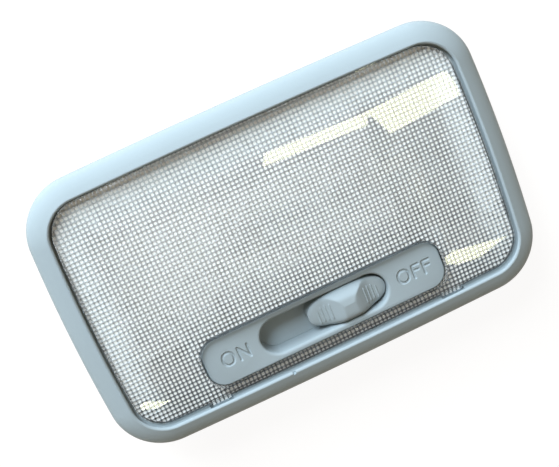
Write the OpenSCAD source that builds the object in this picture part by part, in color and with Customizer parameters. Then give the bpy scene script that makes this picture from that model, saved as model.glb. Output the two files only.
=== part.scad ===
// Rear seat light for a car's headliner: a grey bezel frame with a clear lens, fluted
// on its inner face, and a sliding ON-OFF switch, over a tray that holds a festoon bulb.
// X runs along the length towards the OFF end, Y across, away from the switch,
// and Z out of the lens. The light lies on the back of its tray at z = 0.

/* [Bezel] */
// Length of the bezel over the middle of its ends
bezel_l = 130; // [129:0.5:131]
// Width of the bezel over the middle of its long sides
bezel_w = 81; // [80.5:0.5:82]
// Radius of the bezel's corners
corner_r = 15.5; // [14:0.5:17]
// Outward bow of each long side
side_bow = 0.45; // [0.2:0.05:0.8]
// Outward bow of each end
end_bow = 0.66; // [0.3:0.02:0.9]
// Height of the bezel's crest over its rim
bezel_h = 5.2; // [4.8:0.1:5.6]
// Depth of the tray behind the bezel's rim
tray_d = 19; // [19:0.5:22]

/* [Lens] */
// Height of the lens's long edges over the rim
lens_edge_h = 3.6; // [3.4:0.1:3.8]
// Extra height of the lens along its middle: it is crowned across its width
lens_crown = 1.2; // [1:0.1:1.4]
// Pitch of the flutes on the inner face, which run along the lens
flute_pitch = 1.2; // [1.2:0.1:2]
// Depth of the flutes on the inner face
flute_depth = 0.35; // [0.2:0.05:0.5]
// Width of the plain border round the flutes
lens_border = 1.2; // [1:0.1:1.6]

/* [Switch plate] */
// Length of the raised switch plate
plate_l = 72; // [71:0.5:72.5]
// Width of the raised switch plate
plate_w = 14; // [13.8:0.1:14.2]
// Corner radius of the switch plate
plate_r = 5; // [4:0.5:6]
// Distance of the switch from the middle of the light
switch_y = -24; // [-24.2:0.1:-23.8]
// Height of the plate's face over the rim
plate_h = 3; // [2.8:0.1:3.1]
// Length of the switch slot at the plate's face
slot_l = 40; // [39.8:0.1:40.4]
// Width of the switch slot at the plate's face
slot_w = 12; // [11.8:0.1:12.2]
// Depth of the slot down to the sliding shutter
slot_d = 7; // [6.8:0.1:7.2]

/* [Switch knob] */
// Length of the knob
knob_l = 23.4; // [22.8:0.1:23.4]
// Width of the knob
knob_w = 9.7; // [9.2:0.1:9.7]
// Travel of the knob between ON and OFF
travel = 14.4; // [13.8:0.1:14.4]
// Height of the knob's ridge over the plate
ridge_h = 2; // [1.6:0.1:2.2]

/* [Mounting] */
// Distance between the two mounting screws
screw_spacing = 91; // [90:0.5:92]
// Radius of each mounting hole
screw_hole_r = 2.25; // [2:0.05:2.5]

/* [Hidden] */
$fn = 48;
eps = 0.01;

// Colours
trim_grey = [0.62, 0.67, 0.70];
clear = [0.90, 0.93, 0.95, 0.35];
steel = [0.72, 0.73, 0.74];
brass = [0.80, 0.66, 0.38];

// Outline of the bezel: four shallow arcs joined by corner arcs, all tangent
half_l = bezel_l / 2;
half_w = bezel_w / 2;
side_radius = pow(half_l - corner_r, 2) / (2 * side_bow);
end_radius = pow(half_w - corner_r, 2) / (2 * end_bow);
end_centre = [half_l - end_radius, 0];
side_centre = [0, half_w - side_radius];
centre_gap = norm(side_centre - end_centre);
along = (side_centre - end_centre) / centre_gap;
foot = (pow(end_radius - corner_r, 2) - pow(side_radius - corner_r, 2) + pow(centre_gap, 2))
    / (2 * centre_gap);
rise = sqrt(pow(end_radius - corner_r, 2) - pow(foot, 2));
corner_centre = end_centre + foot * along + rise * [-along.y, along.x];
end_turn = atan2(corner_centre.y, corner_centre.x - end_centre.x);
side_turn = atan2(corner_centre.y - side_centre.y, corner_centre.x);
end_steps = 2;
corner_steps = 12;
side_steps = 3;
quarter_angles = concat(
    [for (i = [0:end_steps - 1]) end_turn * i / end_steps],
    [for (i = [0:corner_steps - 1]) end_turn + (side_turn - end_turn) * i / corner_steps],
    [for (i = [0:side_steps]) side_turn + (90 - side_turn) * i / side_steps]);

function arc_point(centre, radius, q) = centre + radius * [cos(q), sin(q)];
function outline_point(q, inset) =
    q < end_turn ? arc_point(end_centre, end_radius - inset, q)
    : q > side_turn ? arc_point(side_centre, side_radius - inset, q)
    : arc_point(corner_centre, corner_r - inset, q);
function mirrored(list, sx, sy) = [for (p = list) [p.x * sx, p.y * sy]];
function outline(inset) =
    let (q = [for (a = quarter_angles) outline_point(a, inset)], last = len(q) - 1,
        down = [for (i = [last - 1:-1:1]) q[i]], up = [for (i = [1:last]) q[i]])
    concat(q, mirrored(down, -1, 1), mirrored([q[0]], -1, 1), mirrored(up, -1, -1),
        mirrored(down, 1, -1));

// Section of the bezel as [distance in from the outline, height over the rim]
bezel_band = 6.2;
ledge_t = 1.6;
bezel_section = [
    [0, 0], [0, 0.9], [0.12, 1.6], [0.45, 2.3], [1, 2.95], [1.8, 3.58], [2.6, 4.08],
    [3.4, bezel_h - 0.7], [4.2, bezel_h - 0.36], [4.8, bezel_h - 0.12], [5.15, bezel_h],
    [5.45, bezel_h - 0.1], [5.68, bezel_h - 0.35], [5.83, bezel_h - 0.75], [5.92, bezel_h - 1.3],
    [bezel_band, 2.4], [bezel_band, -ledge_t], [4.9, -ledge_t], [4.9, 2.4], [4, 3.1],
    [2.9, 2.9], [2, 2], [1.7, 1.1], [1.7, 0]];

// Levels measured from the back of the tray
rim_z = tray_d;
ledge_z = rim_z - ledge_t;
plate_z = rim_z + plate_h;
well_z = plate_z - slot_d;
shutter_gap = 0.1;
shutter_z = well_z - shutter_gap;
shutter_t = 1.5;
lens_edge_z = rim_z + lens_edge_h;
lens_top_z = lens_edge_z + lens_crown;

// Tray behind the frame
tray_half_l = 54;
tray_low_y = -33.9;
tray_high_y = 27.6;
tray_wall = 1.8;
tray_r = 6;
mouth_half_l = 51.2;
mouth_low_y = -31.4;
mouth_high_y = 24.3;
shelf_half_l = 39;
shelf_high_y = -14.4;
screw_y = switch_y;
boss_r = 5;
boss_h = 6;
screw_seat_z = 4.5;

// Lens tabs and the pockets that take them
tab_x = 35.7;
tab_w = 6;
pocket_w = 6.9;

// Guide rails of the switch shutter
shutter_w = 13;
shutter_l = 56;
rail_gap = 0.1;
rail_t = 1.2;
rail_half_l = 38;
lip_t = 0.9;
lip_gap = 0.1;

// Electrical level: top of the switch base and of the socket's roof
contact_z = 11.3;
strip_t = 0.6;
floor_z = tray_wall;
base_left = -28;
base_right = 34;
base_low_y = -31.4;
base_high_y = -15.9;
base_screw_y = -24;
base_tab_z = 4.8;
base_tab_t = 1.8;
base_tab_reach = 5.4;

// Connector socket in the tray's floor
socket_x = 38;
socket_y = 3;
socket_l = 10;
socket_w = 14;
socket_wall = 1.5;
blade_w = 2.8;
blade_t = 0.8;
feed_y = socket_y + 3.5;
ground_y = socket_y - 3.5;
blade_tip_z = 2.4;

// Festoon bulb
bulb_x = 8.5;
bulb_y = 3.5;
bulb_z = 12.2;
glass_r = 5.2;
glass_half_l = 13;
cap_r = 3.6;
clip_x = 18.6;
clip_w = 7;
clip_t = 0.5;
rivet_r = 1.1;

knob_x = travel / 2;

module rounded_rect(l, w, r) {
    square([l - 2 * r, w], center = true);
    square([l, w - 2 * r], center = true);
    for (sx = [-1, 1], sy = [-1, 1])
        translate([sx * (l / 2 - r), sy * (w / 2 - r)]) circle(r);
}

module stadium(l, w) {
    square([l - w, w], center = true);
    for (sx = [-1, 1]) translate([sx * (l - w) / 2, 0]) circle(w / 2);
}

module slab(z0, z1) {
    translate([0, 0, z0]) linear_extrude(z1 - z0) children();
}

// A bar whose section lies in X and Z and whose length runs along Y
module along_y(y0, y1) {
    translate([0, y1, 0]) rotate([90, 0, 0]) linear_extrude(y1 - y0) children();
}

// A bar whose section lies in Y and Z and whose length runs along X
module along_x(x0, x1) {
    translate([x0, 0, 0]) rotate([90, 0, 90]) linear_extrude(x1 - x0) children();
}

// The bezel is one closed skin: its section carried round the outline
module bezel_ring() {
    rings = len(bezel_section);
    loop = len(outline(0));
    points = [for (s = bezel_section) for (p = outline(s[0])) [p.x, p.y, rim_z + s[1]]];
    faces = [for (i = [0:rings - 1]) for (j = [0:loop - 1])
        let (k = (i + 1) % rings, n = (j + 1) % loop)
        [i * loop + j, k * loop + j, k * loop + n, i * loop + n]];
    polyhedron(points, faces, convexity = 6);
}

module letter_o(w, h, t) {
    difference() {
        rotate(90) stadium(h, w);
        rotate(90) stadium(h - 2 * t, w - 2 * t);
    }
}

module letter_n(w, h, t) {
    for (sx = [-1, 1]) translate([sx * (w - t) / 2, 0]) square([t, h], center = true);
    polygon([[-w / 2, h / 2], [-w / 2 + 1.3 * t, h / 2], [w / 2, -h / 2], [w / 2 - 1.3 * t, -h / 2]]);
}

module letter_f(w, h, t) {
    translate([-(w - t) / 2, 0]) square([t, h], center = true);
    translate([0, (h - t) / 2]) square([w, t], center = true);
    translate([-0.15 * w, 0.08 * h]) square([0.7 * w, t], center = true);
}

letter_h = 4.6;
stroke = 0.65;
letter_depth = 0.35;

module lettering() {
    translate([-29.2, 0]) letter_o(4.1, letter_h, stroke);
    translate([-24.5, 0]) letter_n(3.6, letter_h, stroke);
    translate([24.3, 0]) letter_o(4.1, letter_h, stroke);
    for (x = [28.3, 31.5]) translate([x, 0]) letter_f(2.7, letter_h, stroke);
}

// The slot narrows from the plate's face to the shutter, with a soft rim
slot_draft = 0.9;
slot_rim = 0.35;

module slot_cut() {
    hull() {
        slab(plate_z, plate_z + 1) stadium(slot_l, slot_w, $fn = 32);
        slab(plate_z - slot_rim, plate_z) stadium(slot_l - 2 * slot_rim, slot_w - 2 * slot_rim, $fn = 32);
    }
    hull() {
        slab(plate_z - slot_rim, plate_z) stadium(slot_l - 2 * slot_rim, slot_w - 2 * slot_rim, $fn = 32);
        slab(well_z - 1, well_z) stadium(slot_l - 2 * slot_draft, slot_w - 2 * slot_draft, $fn = 32);
    }
}

module frame_ledge() {
    difference() {
        slab(ledge_z, rim_z) polygon(outline(5.6));
        difference() {
            slab(ledge_z - 1, rim_z + 1) translate([0, (mouth_low_y + mouth_high_y) / 2])
                rounded_rect(2 * mouth_half_l, mouth_high_y - mouth_low_y, 3);
            translate([-shelf_half_l, mouth_low_y - 1, ledge_z - 2])
                cube([2 * shelf_half_l, shelf_high_y - mouth_low_y + 1, 5]);
        }
    }
}

module switch_rails() {
    for (s = [-1, 1]) {
        inner = shutter_w / 2 + rail_gap;
        low = shutter_z - shutter_t - lip_gap - lip_t;
        along_x(-rail_half_l, rail_half_l)
            translate([switch_y, 0]) scale([s, 1])
            polygon([[inner, ledge_z + 0.5], [inner + rail_t, ledge_z + 0.5], [inner + rail_t, low],
                [inner - 1, low], [inner - 1, low + lip_t], [inner, low + lip_t]]);
    }
}

module frame_hooks() {
    hook = [[tray_half_l + 1.4, ledge_z + 0.5], [tray_half_l + 2.9, ledge_z + 0.5],
        [tray_half_l + 2.9, 8.7], [tray_half_l + 1.4, 8.7], [tray_half_l + 0.3, 9.3],
        [tray_half_l + 0.3, 10.1], [tray_half_l + 1.4, 10.1]];
    for (s = [-1, 1], y = [-14, 12]) along_y(y - 4, y + 4) scale([s, 1]) polygon(hook);
}

pocket_reach = 5.3;
pocket_l = bezel_band + 0.5 - pocket_reach;

module tab_pockets() {
    for (sx = [-1, 1], y = [half_w - pocket_reach - pocket_l, -half_w + pocket_reach])
        translate([sx * tab_x - pocket_w / 2, y, rim_z + 0.9]) cube([pocket_w, pocket_l, 3.1]);
}

module bezel_frame() {
    color(trim_grey) difference() {
        union() {
            bezel_ring();
            frame_ledge();
            translate([0, switch_y, 0]) hull() {
                slab(ledge_z + 0.4, plate_z - 0.4) rounded_rect(plate_l, plate_w, plate_r, $fn = 32);
                slab(plate_z - 0.1, plate_z)
                    rounded_rect(plate_l - 0.8, plate_w - 0.8, plate_r - 0.4, $fn = 32);
            }
            translate([0, switch_y, 0]) slab(well_z, ledge_z + 0.4) stadium(slot_l + 0.8, slot_w + 0.6);
            switch_rails();
            frame_hooks();
        }
        translate([0, switch_y, 0]) slot_cut();
        translate([0, switch_y, 0]) slab(plate_z - letter_depth, plate_z + 1) lettering();
        tab_pockets();
        // Notch for the tool that lifts the lens out
        translate([-14.8, -half_w + 4.9, rim_z + 3.6]) cube([0.9, 1.2, 2]);
    }
}

// The lens has one section all along: a crowned outer face, and an inner face whose
// flutes bulge towards the bulb
flute_steps = 4;
lens_wall = 1.9;
crown_power = 4;
crown_steps = 14;
lens_inset = bezel_band + 0.35;
lens_half_w = half_w - lens_inset;
flute_count = floor(2 * (lens_half_w - lens_border) / flute_pitch);
flute_low = -flute_count * flute_pitch / 2;
window_gap = 0.5;
window_lip = 1;
window_low_z = rim_z + 0.5;
window_half_l = plate_l / 2 + window_gap;
window_half_w = plate_w / 2 + window_gap;
tab_reach = 5.5;
tab_l = bezel_band + 1.5 - tab_reach;
tab_low_z = rim_z + 1.1;
tab_t = 1.4;

function crown_z(y) = lens_edge_z + lens_crown * (1 - pow(abs(y) / lens_half_w, crown_power));

crown_line = [for (i = [crown_steps:-1:-crown_steps])
    let (y = i * lens_half_w / crown_steps) [y, crown_z(y)]];
flute_line = [for (i = [0:flute_count * flute_steps])
    let (y = flute_low + i * flute_pitch / flute_steps, t = (i % flute_steps) / flute_steps)
    [y, crown_z(y) - lens_wall - 4 * t * (1 - t) * flute_depth]];

module lens_window(grow, z0, z1) {
    slab(z0, z1) translate([0, switch_y])
        rounded_rect(2 * (window_half_l + grow), 2 * (window_half_w + grow), plate_r + window_gap + grow);
}

module lens() {
    color(clear) difference() {
        union() {
            intersection() {
                slab(rim_z, lens_top_z + 1) polygon(outline(lens_inset));
                union() {
                    along_x(-half_l, half_l) polygon(concat(
                        [[-lens_half_w, lens_edge_z - lens_wall]], flute_line,
                        [[lens_half_w, lens_edge_z - lens_wall]], crown_line));
                    // The border reaches down to the frame's ledge, which carries the lens
                    intersection() {
                        along_x(-half_l, half_l)
                            polygon(concat([[-lens_half_w, rim_z], [lens_half_w, rim_z]], crown_line));
                        union() {
                            slab(rim_z - 1, lens_top_z + 1) difference() {
                                polygon(outline(lens_inset - 1));
                                polygon(outline(lens_inset + lens_border));
                            }
                            lens_window(window_lip, window_low_z, lens_top_z + 1);
                        }
                    }
                }
            }
            for (sx = [-1, 1], y = [half_w - tab_reach - tab_l, -half_w + tab_reach])
                translate([sx * tab_x - tab_w / 2, y, tab_low_z]) cube([tab_w, tab_l, tab_t]);
        }
        lens_window(0, rim_z - 1, lens_top_z + 2);
    }
}

module tray_shape(inset) {
    translate([0, (tray_low_y + tray_high_y) / 2])
        rounded_rect(2 * (tray_half_l - inset), tray_high_y - tray_low_y - 2 * inset, tray_r - inset);
}

module rear_housing() {
    color([0.55, 0.58, 0.60]) difference() {
        union() {
            difference() {
                slab(0, ledge_z) tray_shape(0);
                slab(floor_z, ledge_z + 1) tray_shape(tray_wall);
            }
            // Posts that carry the reflector
            for (p = [[-36, -3], [-36, 13], [8.5, -5], [8.5, 14]]) translate([p.x, p.y, 0.5])
                cylinder(r = 2, h = pan_floor_z - pan_t - 0.5);
            // Catches for the frame's hooks
            for (s = [-1, 1], y = [-14, 12])
                along_y(y - 4.5, y + 4.5) scale([s, 1])
                    polygon([[tray_half_l - 0.5, 10.2], [tray_half_l + 1.2, 10.2],
                        [tray_half_l + 0.2, 12.4], [tray_half_l - 0.5, 12.4]]);
            for (s = [-1, 1]) translate([s * screw_spacing / 2, screw_y, 0.5])
                cylinder(r = boss_r, h = boss_h - 0.5);
            for (x = [base_left - 2.7, base_right + 2.7]) translate([x, base_screw_y, 0.5])
                cylinder(r = 2.4, h = base_tab_z - 0.5);
            slab(0.5, contact_z) translate([socket_x, socket_y])
                square([socket_l + 2 * socket_wall, socket_w + 2 * socket_wall], center = true);
        }
        for (s = [-1, 1]) translate([s * screw_spacing / 2, screw_y, 0]) {
            translate([0, 0, -1]) cylinder(r = screw_hole_r, h = boss_h + 2);
            translate([0, 0, screw_seat_z]) cylinder(r = boss_r - 0.9, h = boss_h);
        }
        for (x = [base_left - 2.7, base_right + 2.7]) translate([x, base_screw_y, 1])
            cylinder(r = 1, h = base_tab_z);
        slab(-1, contact_z - socket_wall) translate([socket_x, socket_y])
            square([socket_l, socket_w], center = true);
        for (y = [feed_y, ground_y]) slab(contact_z - socket_wall - 1, contact_z + 1)
            translate([socket_x, y]) square([blade_t + 0.1, blade_w + 0.1], center = true);
    }
}

// The reflector is a pressed pan: sloped on three sides, upright beside the socket
pan_t = 0.6;
pan_floor_z = 6;
pan_rim_z = ledge_z;
pan_left = -51;
pan_right = 28.5;
pan_low_y = -14;
pan_high_y = 24.4;
pan_r = 3;
pan_slope = 6;
pan_flange = 1;

module pan_plan(grow) {
    translate([(pan_left + pan_right) / 2, (pan_low_y + pan_high_y) / 2])
        rounded_rect(pan_right - pan_left + 2 * grow, pan_high_y - pan_low_y + 2 * grow, pan_r + grow);
}

module pan_block(t, top) {
    intersection() {
        slab(pan_floor_z - t, top) pan_plan(t);
        along_y(pan_low_y - 2, pan_high_y + 2)
            polygon([[pan_left - t, top], [pan_right + t, top], [pan_right + t, pan_floor_z - t],
                [pan_left + 1.3 * pan_slope - t, pan_floor_z - t]]);
        along_x(pan_left - 2, pan_right + 2)
            polygon([[pan_high_y + t, top], [pan_low_y - t, top],
                [pan_low_y + pan_slope - t, pan_floor_z - t],
                [pan_high_y - pan_slope + t, pan_floor_z - t]]);
    }
}

module reflector() {
    color([0.86, 0.87, 0.87]) difference() {
        union() {
            pan_block(pan_t, pan_rim_z);
            slab(pan_rim_z - pan_t, pan_rim_z) pan_plan(pan_flange);
        }
        pan_block(0, pan_rim_z + eps);
        for (s = [-1, 1]) translate([bulb_x + s * (clip_x - 0.6), bulb_y, pan_floor_z])
            cube([3.2, clip_w + 1, 4], center = true);
    }
}

// The knob's plan is a soft oval. Each point of its top is given by an angle round
// the oval and by its reach, 0 in the middle and 1 at the edge.
oval_power = 2.5;
knob_rings = 16;
knob_spokes = 72;

// Its top is a hump with a short ridge along the middle. The front face drops away
// steeply, the back face leans a little, and both shoulders slope down to flat ends.
ridge_y = 0.13;
ridge_half_l = 1.8;
front_lean = 0.1;
front_slope = 0.6;
front_start = 2.2;
back_slope = 0.12;
back_round = 1.1;
shoulder_slope = 0.46;
shoulder_lean = 0.1;
steep_slope = 0.18;
steep_start = 3.3;
shoulder_end = 7;
edge_round = 0.7;

function soft(v) = sign(v) * pow(abs(v), 2 / oval_power);
function ease(v, width) = width * ln(1 + exp(v / width));
function knob_point(q, reach) =
    let (x = reach * knob_l / 2 * soft(cos(q)), y = reach * knob_w / 2 * soft(sin(q)))
    [x, y, knob_height(x, y, reach)];
function back_roll(y) = y > 0 ? 0 : back_round * pow(abs(y) * 2 / knob_w, 6);
function facing_drop(y) =
    y > ridge_y ? front_lean * (y - ridge_y) + front_slope * ease(y - ridge_y - front_start, 0.3)
    : back_slope * (ridge_y - y) + back_roll(y);
function shoulder_drop(x, y) =
    shoulder_slope * (abs(x) - ridge_half_l) + steep_slope * ease(abs(x) - steep_start, 0.3)
    - (shoulder_slope + steep_slope) * ease(abs(x) - shoulder_end, 0.45)
    - shoulder_lean * (y - ridge_y) + 0.5 * back_roll(y);
function knob_height(x, y, reach) =
    let (low = shoulder_drop(x, y))
    plate_z + ridge_h - low - ease(facing_drop(y) - low, 0.06) - edge_round * pow(reach, 10);

// The oval body: rings of points over the top, then the side wall and the base
module knob_body() {
    base_z = shutter_z - 0.5;
    spokes = [for (j = [0:knob_spokes - 1]) 360 * j / knob_spokes];
    top = [for (i = [1:knob_rings]) for (q = spokes) knob_point(q, sin(90 * i / knob_rings))];
    base = [for (q = spokes) let (p = knob_point(q, 1)) [p.x, p.y, base_z]];
    points = concat([knob_point(0, 0)], top, base, [[0, 0, base_z]]);
    last = len(points) - 1;
    bands = [for (i = [0:knob_rings - 1]) for (j = [0:knob_spokes - 1])
        let (n = (j + 1) % knob_spokes, a = 1 + i * knob_spokes, b = a + knob_spokes)
        each [[a + j, b + n, b + j], [a + j, a + n, b + n]]];
    caps = [for (j = [0:knob_spokes - 1])
        let (n = (j + 1) % knob_spokes)
        each [[0, 1 + n, 1 + j], [last, last - knob_spokes + j, last - knob_spokes + n]]];
    polyhedron(points, concat(bands, caps), convexity = 6);
}

module knob_ribs(side) {
    mid_y = -0.2;
    for (i = [0:3]) {
        x = 5.2 + 1.22 * i;
        rib_l = [5.6, 5.6, 5.2, 4.2][i];
        translate([side * x, mid_y, knob_height(x, mid_y, 2 * x / knob_l) - 0.17])
            rotate([90 + atan(shoulder_lean), 0, 0])
            cylinder(r = 0.34, h = rib_l, center = true, $fn = 16);
    }
}

module switch_knob() {
    color(trim_grey) translate([knob_x, switch_y, 0]) {
        knob_body();
        for (s = [-1, 1]) knob_ribs(s);
        translate([-shutter_l / 2, -shutter_w / 2, shutter_z - shutter_t])
            cube([shutter_l, shutter_w, shutter_t]);
        // Pegs that hold the contact slider
        for (x = [-4, 8]) translate([x, 0, shutter_z - shutter_t - 0.9]) cylinder(r = 0.9, h = 1.2);
    }
}

// Bridge under the shutter: one finger stays on the ground strip, the other
// meets the lamp strip only at ON
front_y = -3.6;
rear_y = 4;

module slider_finger(x, y) {
    top = shutter_z - shutter_t;
    tip = contact_z + strip_t + 0.05;
    translate([x, y, 0]) along_y(-1.2, 1.2)
        polygon([[-2.6, top - 0.5], [-0.6, tip], [0.6, tip], [2.6, top - 0.5], [2, top],
            [0, tip + 0.6], [-2, top]]);
}

module contact_slider() {
    top = shutter_z - shutter_t;
    color(brass) translate([knob_x, switch_y, 0]) {
        difference() {
            slab(top - 0.5, top) polygon([[-6, -5], [2, -5], [2, -1.8], [11, -1.8], [11, 5], [5, 5],
                [5, 1.8], [-6, 1.8]]);
            for (x = [-4, 8]) translate([x, 0, top - 1]) cylinder(r = 0.95, h = 2);
        }
        slider_finger(-3, front_y);
        slider_finger(8, rear_y);
    }
}

module detent_spring() {
    top = shutter_z - shutter_t - 0.05;
    color(steel) along_y(-29.6, -26.4)
        polygon([[20, contact_z], [32, contact_z], [32, contact_z + 0.4], [30.5, contact_z + 0.4],
            [27, top], [26, top], [22.5, contact_z + 0.4], [20, contact_z + 0.4]]);
}

module switch_base() {
    wall = 1.5;
    mid_y = (base_low_y + base_high_y) / 2;
    color([0.25, 0.18, 0.12]) difference() {
        union() {
            translate([base_left, base_low_y, floor_z])
                cube([base_right - base_left, base_high_y - base_low_y, contact_z - floor_z]);
            translate([base_left - base_tab_reach, mid_y - 3.5, base_tab_z])
                cube([base_right - base_left + 2 * base_tab_reach, 7, base_tab_t]);
        }
        translate([base_left + wall, base_low_y + wall, floor_z - 1])
            cube([base_right - base_left - 2 * wall, base_high_y - base_low_y - 2 * wall,
                contact_z - floor_z - wall + 1]);
        for (x = [base_left - 2.7, base_right + 2.7]) translate([x, base_screw_y, base_tab_z - 1])
            cylinder(r = 1.3, h = base_tab_t + 2);
    }
}

module base_screws() {
    color(steel) for (x = [base_left - 2.7, base_right + 2.7]) translate([x, base_screw_y, 0])
        difference() {
            union() {
                translate([0, 0, 1.6]) cylinder(r = 1, h = base_tab_z + base_tab_t - 1.5);
                translate([0, 0, base_tab_z + base_tab_t]) rotate_extrude()
                    polygon([[0, 0], [2.2, 0], [2.2, 0.7], [1.7, 1.3], [0.9, 1.6], [0, 1.65]]);
            }
            for (a = [0, 90]) translate([0, 0, base_tab_z + base_tab_t + 1.5]) rotate(a)
                cube([2.2, 0.5, 1.2], center = true);
        }
}

module strip_blade(y) {
    translate([socket_x, y, 0]) slab(blade_tip_z, contact_z + eps)
        square([blade_t, blade_w], center = true);
}

module feed_strip() {
    drop_x = socket_x - socket_l / 2 - socket_wall - 0.6;
    color(brass) {
        strip_blade(feed_y);
        along_y(feed_y - 2, feed_y + 2)
            polygon([[socket_x + 1.5, contact_z + strip_t], [drop_x - strip_t, contact_z + strip_t],
                [drop_x - strip_t, floor_z + strip_t], [bulb_x + clip_x - 5.5, floor_z + strip_t],
                [bulb_x + clip_x - 5.5, floor_z], [drop_x, floor_z], [drop_x, contact_z],
                [socket_x + 1.5, contact_z]]);
    }
}

module lamp_strip() {
    rise_y = base_high_y + 0.1;
    color(brass) along_x(bulb_x - clip_x - 2.5, bulb_x - clip_x + 2.5)
        polygon([[bulb_y + 4, floor_z], [bulb_y + 4, floor_z + strip_t],
            [rise_y + strip_t, floor_z + strip_t], [rise_y + strip_t, contact_z + strip_t],
            [-29.5, contact_z + strip_t], [-29.5, contact_z], [rise_y, contact_z], [rise_y, floor_z]]);
}

module ground_strip() {
    color(brass) {
        strip_blade(ground_y);
        slab(contact_z, contact_z + strip_t)
            polygon([[socket_x - 2, ground_y + 2], [socket_x + 2, ground_y + 2], [socket_x + 2, -22],
                [-1, -22], [-1, -18], [socket_x - 2, -18]]);
    }
}

// Each clip's foot is riveted to its strip, and its blade holds the bulb's cap
module bulb_clip(side) {
    foot_z = floor_z + strip_t;
    color(brass) translate([bulb_x, bulb_y, 0]) difference() {
        along_y(-clip_w / 2, clip_w / 2) scale([side, 1])
            polygon([[clip_x - 5.5, foot_z], [clip_x, foot_z], [clip_x + clip_t, foot_z + 0.6],
                [clip_x + clip_t - 0.5, bulb_z + 2.2], [clip_x + 1, bulb_z + 4],
                [clip_x + 0.5, bulb_z + 4.1], [clip_x - 0.5, bulb_z + 2.2],
                [clip_x - 0.3, foot_z + 0.5], [clip_x - 5.5, foot_z + 0.5]]);
        translate([side * (clip_x - 2), 0, bulb_z]) rotate([0, 90, 0])
            cylinder(r = 1.5, h = 8, center = true);
        translate([side * (clip_x - 3.2), 2, foot_z - 1]) cylinder(r = rivet_r, h = 3);
    }
}

module bulb_clip_left() {
    bulb_clip(-1);
}

module bulb_clip_right() {
    bulb_clip(1);
}

module clip_rivets() {
    foot_z = floor_z + strip_t;
    color(steel) for (s = [-1, 1]) translate([bulb_x + s * (clip_x - 3.2), bulb_y + 2, 0]) {
        translate([0, 0, foot_z]) cylinder(r = rivet_r - 0.02, h = 0.6);
        translate([0, 0, foot_z + 0.5]) rotate_extrude()
            polygon([[0, 0], [1.9, 0], [1.7, 0.5], [1, 0.8], [0, 0.85]]);
    }
}

// Turned parts of the bulb lie along X
module on_bulb_axis() {
    translate([bulb_x, bulb_y, bulb_z]) rotate([0, 90, 0]) children();
}

module bulb_glass() {
    wall = 0.5;
    neck_r = cap_r - 0.4;
    color(clear) on_bulb_axis() rotate_extrude() polygon([
        [neck_r, -glass_half_l - 1.5], [neck_r, -glass_half_l + 0.6], [glass_r - 0.5, -glass_half_l + 2],
        [glass_r, -glass_half_l + 3.2], [glass_r, glass_half_l - 3.2], [glass_r - 0.5, glass_half_l - 2],
        [neck_r, glass_half_l - 0.6], [neck_r, glass_half_l + 1.5], [neck_r - wall, glass_half_l + 1.5],
        [neck_r - wall, glass_half_l - 0.9], [glass_r - 0.5 - wall, glass_half_l - 2.2],
        [glass_r - wall, glass_half_l - 3.4], [glass_r - wall, -glass_half_l + 3.4],
        [glass_r - 0.5 - wall, -glass_half_l + 2.2], [neck_r - wall, -glass_half_l + 0.9],
        [neck_r - wall, -glass_half_l - 1.5]]);
}

module bulb_cap(side) {
    tip = clip_x - 0.2;
    color(steel) on_bulb_axis() scale([1, 1, side]) rotate_extrude() polygon([
        [0, glass_half_l + 1.6], [cap_r - 0.4, glass_half_l + 1.6], [cap_r - 0.4, glass_half_l - 0.4],
        [cap_r, glass_half_l - 0.4], [cap_r, glass_half_l + 2.2], [cap_r - 0.5, glass_half_l + 2.9],
        [1.4, tip - 0.6], [1.2, tip + 0.7], [0.6, tip + 1.1], [0, tip + 1.2]]);
}

module bulb_cap_left() {
    bulb_cap(-1);
}

module bulb_cap_right() {
    bulb_cap(1);
}

module bulb_filament() {
    color(steel) on_bulb_axis() {
        cylinder(r = 0.55, h = 9, center = true);
        cylinder(r = 0.2, h = 2 * glass_half_l + 3.1, center = true, $fn = 16);
    }
}

bezel_frame();
lens();
rear_housing();
reflector();
switch_knob();
contact_slider();
detent_spring();
switch_base();
base_screws();
feed_strip();
lamp_strip();
ground_strip();
bulb_clip_left();
bulb_clip_right();
clip_rivets();
bulb_glass();
bulb_cap_left();
bulb_cap_right();
bulb_filament();
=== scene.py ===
"""Looks of the rear seat light: finer meshes for the bezel frame, the lens and the knob,
procedural materials for every piece, and a pale studio at the photograph's angle.

X runs along the light towards OFF, Y across it, away from the switch, and Z out of the lens.
Shapes are worked out in millimetres, and meshes are made in metres."""

import math

import bmesh
import bpy
import numpy as np
from mathutils import Matrix, Vector


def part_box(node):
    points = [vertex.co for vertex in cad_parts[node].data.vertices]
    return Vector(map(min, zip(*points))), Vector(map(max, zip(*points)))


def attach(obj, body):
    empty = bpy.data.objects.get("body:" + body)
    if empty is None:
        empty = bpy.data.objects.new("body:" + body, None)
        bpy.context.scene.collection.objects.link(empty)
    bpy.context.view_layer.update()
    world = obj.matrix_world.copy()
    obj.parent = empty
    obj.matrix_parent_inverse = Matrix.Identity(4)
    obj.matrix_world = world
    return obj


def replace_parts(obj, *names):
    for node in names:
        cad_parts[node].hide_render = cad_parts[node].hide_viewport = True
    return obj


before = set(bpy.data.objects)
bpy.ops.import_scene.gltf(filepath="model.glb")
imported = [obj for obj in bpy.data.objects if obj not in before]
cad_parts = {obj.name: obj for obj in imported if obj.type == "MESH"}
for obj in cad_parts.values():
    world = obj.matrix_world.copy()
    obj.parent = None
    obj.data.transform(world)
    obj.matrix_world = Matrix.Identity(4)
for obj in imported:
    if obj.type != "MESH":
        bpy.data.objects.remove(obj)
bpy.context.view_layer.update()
MM = 0.001

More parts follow.
